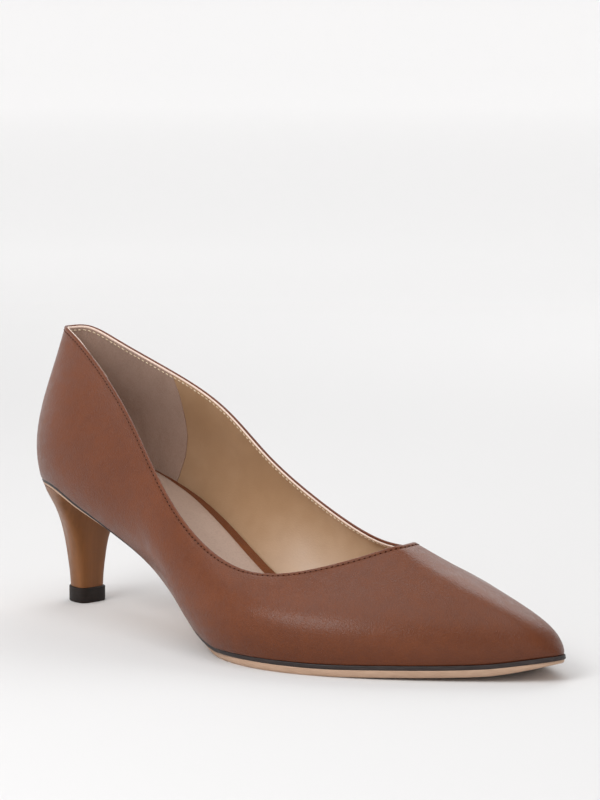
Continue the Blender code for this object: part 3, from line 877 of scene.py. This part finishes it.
# %% Lining
KNIFE_DROP = 0.7
LIP_END = 3.6
lip = [(3.0, 0, 1.0), (1.2, 0, 1.0), (0.6, 0, 1.0), (0.28, 0, 1.08), (0.18, 0, 1.3),
       (0.26, 0, 1.55), (0.62, 0, WALL), (1.2, 0, WALL), (2.0, 0, WALL + 0.05),
       (2.8, 0, WALL + 0.02), (LIP_END, 0, WALL)]
back_side = [(LIP_END, share, 1.02) for share in np.linspace(1, 0, 10)]
front_side = [(4.4, share, WALL) for share in np.linspace(0, 1, 30)]
lip_rows = slice(len(back_side), len(back_side) + len(lip))
below, depth, key_grid = rib_rows(leather_keys, back_side + lip + front_side)
# The knife drops between the back and the toe of the outer side, whose keys come first
from_back = np.clip((leather_keys - 10) / 6, 0, 1)
to_toe = np.clip((TOE_KEY + 2 - leather_keys) / 6, 0, 1)
low_trim = KNIFE_DROP * from_back * to_toe
trimmed = below.copy()
trimmed[lip_rows] += low_trim * np.clip((LIP_END - below[lip_rows]) / 2.4, 0, 1)
rises = rise_below(leather_keys, trimmed)
points = ease_toe(skin(key_grid, rises, depth), key_grid, rises)
mesh = pull_grid(points, close_columns=True, close_rows=True, marks={"below": below * MM})
make_piece("lining", mesh, lining_finish, smooth=0, levels=1)
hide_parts("upper")

# %% [markdown]
# ### Lasting margin
# The leather and lining are pulled in under the insole board and glued there. Seen from above, this
# margin closes the narrow slit between the lining and the board. It is a flat ring round the shoe.

# %% Lasting margin
MARGIN_TOP, MARGIN_BOTTOM = -0.02, -0.10
MARGIN_INSETS = (0.5, 2.5, 6.0)
ring_rows = [(inset, MARGIN_TOP) for inset in MARGIN_INSETS]
ring_rows += [(inset, MARGIN_BOTTOM) for inset in reversed(MARGIN_INSETS)]


def inside_feather(keys, inset):
    """The feather edge moved inwards, as x and y."""
    nx, ny = outward(keys)
    return FEATHER_X(keys) - nx * inset, FEATHER_Y(keys) - ny * inset


ring = np.stack([layer_point(*inside_feather(leather_keys, inset), np.full_like(leather_keys, offset))
                 for inset, offset in ring_rows])
mesh = pull_grid(ring, close_columns=True, close_rows=True)
make_piece("lasting_margin", mesh, insole_finish, smooth=30)

# %% [markdown]
# ### Heel grip
# The grip is a second skin glued round the inside of the heel. Its front edges bow forward on
# both sides. A strip of grid is pulled round the back of the last, from one edge to the other.

# %% Heel grip
GRIP = 0.32
GRIP_DROP = 0.8
# Front edge: how far round the shoe it stands at each share of the height
FRONT_RISES = (0.01, 0.25, 0.45, 0.65, 0.85, 1.0)
FRONT_KEYS = (16.9, 17.5, 17.7, 17.6, 17.4, 16.9)
grip_rises = np.linspace(0.012, 1.0, 34)
front_key = np.interp(grip_rises, FRONT_RISES, FRONT_KEYS)
across = np.linspace(-1, 1, 61)
grip_keys = np.mod(front_key[:, None] * across[None], ROUND)


def grip_sheet(depth):
    top = rise_below(grip_keys[-1], np.full((1, len(across)), GRIP_DROP))[0]
    rises = grip_rises[:, None] * top[None]
    return skin(grip_keys, rises, np.full_like(rises, depth))


front_face = grip_sheet(WALL + GRIP)
back_face = grip_sheet(WALL + 0.02)
section = np.concatenate([front_face, back_face[:, ::-1]], 1)
mesh = pull_grid(section, close_columns=True)
close_ends(mesh)
make_piece("heel_grip", mesh, grip_finish, smooth=40)

# %% [markdown]
# ### Stitches
# One row of brown thread holds the fold, 1.7 mm below the edge, at about 12 stitches to 25 mm.
# The thread has the colour of the hide, so what the eye sees is the row of needle holes between
# the stitches, dark with shade. That shade is painted: a small dark grain sits in each hole.
# The bobbin thread shows on the lining as a pale row. Each stitch is a small grain,
# and all the grains of a row are joined in one mesh.


# %% Stitches
PITCH = 2.0
STITCH_LENGTH = 1.45
STITCH_LEAN = math.radians(7.0)
OUTER_ROW, INNER_ROW = 1.68, 1.75


def stitch_row(name, finish, below_mm, depth_mm, length, width, on_grip=0.0, shift=0.5):
    """A closed row of stitches along the topline. on_grip lifts it where it lies on the heel grip."""
    keys = np.linspace(0, ROUND, 1600)
    below = np.full((1, len(keys)), below_mm)
    rises = rise_below(keys, below)[0]
    from_heel = np.minimum(keys, ROUND - keys)
    path = skin(keys, rises, depth_mm + on_grip * (from_heel < front_key[-1]))
    normals = skin_normal(keys, rises)
    lengths = np.concatenate([[0], np.cumsum(np.linalg.norm(np.diff(path, axis=0), axis=1))])
    count = int(round(lengths[-1] / PITCH))
    mesh = bmesh.new()
    for i in range(count):
        here = lengths[-1] * (i + shift) / count
        at, ahead = [np.array([np.interp(here + step, lengths, path[:, k]) for k in range(3)])
                     for step in (0, 0.1)]
        normal = Vector([np.interp(here, lengths, normals[:, k]) for k in range(3)]).normalized()
        along = Vector(ahead - at).normalized()
        side = normal.cross(along).normalized()
        turn = Matrix((side, normal, along)).transposed().to_4x4()
        lean = Matrix.Rotation(STITCH_LEAN, 4, "Y")
        size = Matrix.Diagonal((width / 2 * MM, width / 2 * MM * 0.8, length / 2 * MM, 1))
        placed = Matrix.Translation(Vector(at * MM)) @ turn @ lean @ size
        bmesh.ops.create_uvsphere(mesh, u_segments=8, v_segments=6, radius=1.0, matrix=placed)
    print(name, "has", count, "stitches over", round(lengths[-1]), "mm")
    make_piece(name, mesh, finish, smooth=0)


stitch_row("outer_stitches", brown_thread, OUTER_ROW, 0.08, STITCH_LENGTH, 0.42)
# A dark grain in each needle hole, as painted shade
stitch_row("needle_hole_shade", hole_shade, OUTER_ROW, 0.10, 0.85, 0.56, shift=0.0)
stitch_row("inner_stitches", pale_thread, INNER_ROW, WALL + 0.06, STITCH_LENGTH, 0.55, on_grip=GRIP)

# %% [markdown]
# ### Footbed
# The sock is a thin pad: leather over foam, cut a few millimetres inside the insole so that a band
# of the brown insole cover shows round it. Each section across the foot is a loop that rises from
# the edge to a soft crown. The edge is smoothed, because a knife runs through it in one sweep.

# %% Edges of the footbed
SOCK_FLOOR, SOCK_TOP = 2.02, 3.5
EDGE_PASSES = 10
half_rows = len(FEATHER)
lateral_rows = KEYS[:half_rows]
medial_rows = np.concatenate([[ROUND], KEYS[::-1][1:half_rows]])
sections = np.linspace(0.02, half_rows - 1.02, 120)
edges = []
for side_rows in (lateral_rows, medial_rows):
    side_keys = np.interp(sections, np.arange(half_rows), side_rows)
    edge = np.stack(inside_feather(side_keys, edge_lines[2](side_keys)))
    for _ in range(EDGE_PASSES):
        edge[:, 1:-1] = (edge[:, :-2] + 2 * edge[:, 1:-1] + edge[:, 2:]) / 4
    edges.append(edge)
print("sections of the footbed:", len(sections))

# %% Footbed
shares = (1 - np.cos(np.linspace(0, np.pi, 33))) / 2
crown = SOCK_FLOOR + (SOCK_TOP - SOCK_FLOOR) * (1 - np.abs(2 * shares - 1)**7)
underside = shares[::-1][4:-4:4]
loop_shares = np.concatenate([shares, underside])
loop_heights = np.concatenate([crown, np.full(len(underside), SOCK_FLOOR)])
(ax, ay), (bx, by) = edges
x = ax[:, None] + (bx - ax)[:, None] * loop_shares
y = ay[:, None] + (by - ay)[:, None] * loop_shares
mesh = pull_grid(layer_point(x, y, np.repeat(loop_heights[None], len(ax), 0)), close_columns=True)
close_ends(mesh)
sock = make_piece("sock_pad", mesh, sock_finish, smooth=60)
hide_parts("sock")

# %% [markdown]
# ### Insole, midsole and outsole
# These are plain cut sheets, so the frame's own solids are right, but the two that show at the
# edge get a finer copy with trimmed corners. A ring of points is extruded from level to level,
# and each face is closed with strips across the foot.

# %% Thickness of the sole
# Shares of LAST_LENGTH: where each change of thickness starts, and over how much it runs
WAIST_END, WAIST_REACH = 0.28, 0.26
SKIVE_START, SKIVE_REACH = 0.91, 0.09


def thickness(x, thin, thick):
    """Thin from the seat to the waist, then growing to full thickness under the ball."""
    share = np.clip((x - station(WAIST_END)) / (LAST_LENGTH * WAIST_REACH), 0, 1)
    return thin + (thick - thin) * share**2 * (3 - 2 * share)


def skived(x, thick, tip):
    """What the outsole has left where it is pared down under the toe."""
    share = np.clip((x - station(SKIVE_START)) / (LAST_LENGTH * SKIVE_REACH), 0, 1)
    return thick - (thick - tip) * share**2


def midsole_floor(x):
    return -CLEARANCE - thickness(x, MIDSOLE_THIN, MIDSOLE_THICK)


def outsole_top(x):
    return midsole_floor(x) - CLEARANCE


def outsole_floor(x):
    return outsole_top(x) - thickness(x, OUTSOLE_THIN, skived(x, OUTSOLE_THICK, OUTSOLE_TIP))


print("underside of the sole at the ball, in mm:", outsole_floor(np.array([station(0.6)])).round(2)[0])


# %% Closed solids from rings
def loft(rings):
    """A closed solid: a circle is pulled to the first ring, then extruded from ring to ring."""
    mesh = bmesh.new()
    count = len(rings[0])
    ring = bmesh.ops.create_circle(mesh, cap_ends=False, segments=count, radius=1.0)["verts"]
    for vert, point in zip(ring, rings[0]):
        vert.co = point * MM
    first = ring
    for points in rings[1:]:
        edges = [mesh.edges.get((vert, ring[(i + 1) % count])) for i, vert in enumerate(ring)]
        made = bmesh.ops.extrude_edge_only(mesh, edges=edges)["geom"]
        fresh = {item for item in made if isinstance(item, bmesh.types.BMVert)}
        ring = [next(e.other_vert(v) for e in v.link_edges if e.other_vert(v) in fresh) for v in ring]
        for vert, point in zip(ring, points):
            vert.co = point * MM
    for end in (first, ring):
        for i in range(count // 2):
            corners = [end[i], end[i + 1], end[count - i - 1], end[(count - i) % count]]
            mesh.faces.new(list(dict.fromkeys(corners)))
    return mesh


def sole_layer(inset_line, top, bottom, trims):
    """trims: (share of the way down, extra inset in mm)."""
    keys = spread_keys(6)
    rings = []
    for down, extra in trims:
        x, y = inside_feather(keys, inset_line(keys) + extra)
        rings.append(layer_point(x, y, top(x) * (1 - down) + bottom(x) * down))
    return loft(rings)


print("rings of a sole layer have", len(spread_keys(6)), "points")


# %% Midsole, the black edge line
def midsole_inset(keys):
    """The black edge shows at the waist too, so it stands further out there than the solid."""
    solid_inset = edge_lines[0](keys)
    return np.minimum(solid_inset, 0.25 + 0.3 * solid_inset)


# The finer copies close the thin gaps between the layers. Heights in mm
MIDSOLE_TOP, MIDSOLE_LIFT, OUTSOLE_LIFT = -0.12, 0.05, 0.33
MIDSOLE_TRIMS = ((0.0, 0.12), (0.12, 0.0), (0.88, 0.0), (1.0, 0.12))
mesh = sole_layer(midsole_inset, lambda x: np.full_like(x, MIDSOLE_TOP),
                  lambda x: midsole_floor(x) + MIDSOLE_LIFT, MIDSOLE_TRIMS)
midsole = make_piece("midsole_edge", mesh, midsole_finish, smooth=30)
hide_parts("midsole")

# %% Outsole
OUTSOLE_TRIMS = ((0.0, 0.10), (0.06, 0.0), (0.45, 0.0), (0.72, 0.18), (0.90, 0.45), (1.0, 0.8))
mesh = sole_layer(edge_lines[1], lambda x: outsole_top(x) + OUTSOLE_LIFT, outsole_floor,
                  OUTSOLE_TRIMS)
outsole = make_piece("outsole_sheet", mesh, outsole_finish, smooth=30)
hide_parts("outsole")

# %% Insole, the frame's own solid in its brown cover
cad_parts["insole"].data.materials.clear()
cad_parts["insole"].data.materials.append(insole_finish)
print("insole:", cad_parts["insole"].active_material.name)

# %% [markdown]
# ### Heel and top piece
# A low curved heel: wide at the seat, narrow and upright at the tip. It is a stack of rings like
# the letter D, round at the back and flat at the breast. The top piece under it is dense rubber
# and stands a little proud of the cover.

# %% Sizes of the heel, in millimetres
SHAFT_BACK, SHAFT_FRONT, SHAFT_HALF = -6.4, 5.6, 5.8
BREAST, BREAST_DEPTH = 15.0, 4.0
CORNER_POWER = 0.55
SEAT_INSET = 0.35
SINK = 0.05
TIP_HEIGHT, TIP_OVERHANG = 6.0, 0.7
# drop: share of the way down; back, front, width: shares of the seat's extra size
HEEL = np.array([
    (0.00, 1.00, 1.00, 1.00), (0.07, 0.97, 0.72, 0.89), (0.16, 0.90, 0.45, 0.71),
    (0.28, 0.77, 0.25, 0.48), (0.42, 0.60, 0.12, 0.28), (0.58, 0.41, 0.05, 0.14),
    (0.76, 0.21, 0.02, 0.06), (0.90, 0.07, 0.00, 0.02), (1.00, 0.00, 0.00, 0.00),
])
turns = np.linspace(0, 2 * np.pi, 72, endpoint=False)
rear = np.cos(turns) > 1e-9
lateral = np.sin(turns) > 0
power = np.where(rear, 1.0, CORNER_POWER)
seat_keys = np.linspace(0, TOE_KEY * 0.5, 200)
seat_inset = edge_lines[1](seat_keys) + SEAT_INSET
SEAT_X, SEAT_LATERAL = inside_feather(seat_keys, seat_inset)
_, SEAT_MEDIAL = inside_feather(ROUND - seat_keys, seat_inset)
print("the seat's back is at x in mm:", SEAT_X[0].round(2))


# %% Rings of the heel
def d_shape(back, front, half):
    """Round at the back, flat with rounded corners at the front."""
    belly = front - 0.30 * (front - back)
    c, s = np.cos(turns), np.sin(turns)
    reach = np.where(rear, belly - back, front - belly)
    return belly - np.sign(c) * np.abs(c)**power * reach, -np.sign(s) * np.abs(s)**power * half


def seat_shape():
    """The outsole's own outline round the back, cut straight at the breast."""
    belly = BREAST - BREAST_DEPTH
    c, s = np.cos(turns), np.sin(turns)
    reach = np.where(rear, belly - SEAT_X[0], BREAST - belly)
    x = belly - np.sign(c) * np.abs(c)**power * reach
    place = np.minimum(x, belly)
    outer_side = np.interp(place, SEAT_X, SEAT_LATERAL)
    inner_side = np.interp(place, SEAT_X, SEAT_MEDIAL)
    y = np.where(lateral, outer_side, inner_side) * np.where(rear, 1.0, np.abs(s)**CORNER_POWER)
    return x, np.where(np.abs(s) < 1e-9, 0.0, y)


def layer_height(x, offset):
    """Height of a layer's face over the point x on the floor."""
    foot = x
    for _ in range(6):
        slope = bottom_slope(foot)
        foot = x + offset * slope / np.sqrt(1 + slope**2)
    return base_height(foot) + offset / np.sqrt(1 + bottom_slope(foot)**2)


shaft_x, shaft_y = d_shape(SHAFT_BACK, SHAFT_FRONT, SHAFT_HALF)
seat_x, seat_y = seat_shape()
print("the seat is", round(np.ptp(seat_y), 1), "mm wide, the shaft", round(np.ptp(shaft_y), 1))

# %% Heel
heel_columns = [open_line(HEEL[:, 0], HEEL[:, i]) for i in (1, 2, 3)]
rings = []
for drop in np.linspace(0, 1, 34):
    back, front, width = [line(np.array([drop]))[0] for line in heel_columns]
    x = shaft_x + (seat_x - shaft_x) * np.where(seat_x < shaft_x, back, front)
    y = shaft_y + (seat_y - shaft_y) * width
    seat = layer_height(x, outsole_floor(x) - SINK)
    rings.append(np.stack([x, y, seat * (1 - drop) + (TIP_HEIGHT + SINK) * drop], -1))
heel = make_piece("heel_cover", loft(rings), heel_finish, smooth=40)
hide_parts("heel")

# %% Top piece
# Rings from the top to the floor: height, and how much further out than the overhang, in mm
TIP_RINGS = ((TIP_HEIGHT, -0.25), (TIP_HEIGHT - 0.25, 0.0), (0.35, 0.0), (0.1, -0.12), (0.0, -0.35))
tip_rings = []
for z, extra in TIP_RINGS:
    reach = TIP_OVERHANG + extra
    x, y = d_shape(SHAFT_BACK - reach, SHAFT_FRONT + reach, SHAFT_HALF + reach)
    tip_rings.append(np.stack([x, y, np.full_like(x, z)], -1))
heel_tip = make_piece("top_piece", loft(tip_rings), tip_finish, smooth=40)
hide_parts("heel_tip")

# %% [markdown]
# ### Back strip
# The two quarters meet in a seam at the centre of the back. A narrow strip covers it, glued on,
# with its cut edges painted dark: partly their real ink, partly a painted shade of the edges that
# face away from the light. Its section is a flat loop with rounded shoulders.

# %% Back strip
STRIP_HALF = 4.0
PAINTED_UNDER = 0.5
# Section: share of the half width, height over the leather in mm
STRIP_SECTION = np.array([
    (-1.0, -0.05), (-1.0, 0.35), (-0.94, 0.55), (-0.5, 0.62), (0.0, 0.63),
    (0.5, 0.62), (0.94, 0.55), (1.0, 0.35), (1.0, -0.05),
])
strip_rises = np.linspace(0.02, 0.955, 40)
key_step = 0.5
mid_back, beside = outer_skin(np.array([0.0, key_step]), np.array([0.5, 0.5]))
half_key = key_step * STRIP_HALF / np.linalg.norm(beside - mid_back)
heights = STRIP_SECTION[:, 1]
key_grid = np.mod(np.repeat(STRIP_SECTION[None, :, 0] * half_key, len(strip_rises), 0), ROUND)
rise_grid = np.repeat(strip_rises[:, None], len(heights), 1)
points = skin(key_grid, rise_grid, -np.repeat(heights[None], len(strip_rises), 0))
# The lower part of each cut edge is dark: its ink, and painted shade for the side facing away
edge_ink_and_shade_mask = np.repeat(np.where(np.abs(heights) < PAINTED_UNDER, 1.0, 0.0)[None], len(strip_rises), 0)
mesh = pull_grid(points, close_columns=True, marks={"polish_ink_and_shade": edge_ink_and_shade_mask})
close_ends(mesh)
back_strip = make_piece("back_seam_strip", mesh, strip_finish, smooth=35)
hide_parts("back_strip")
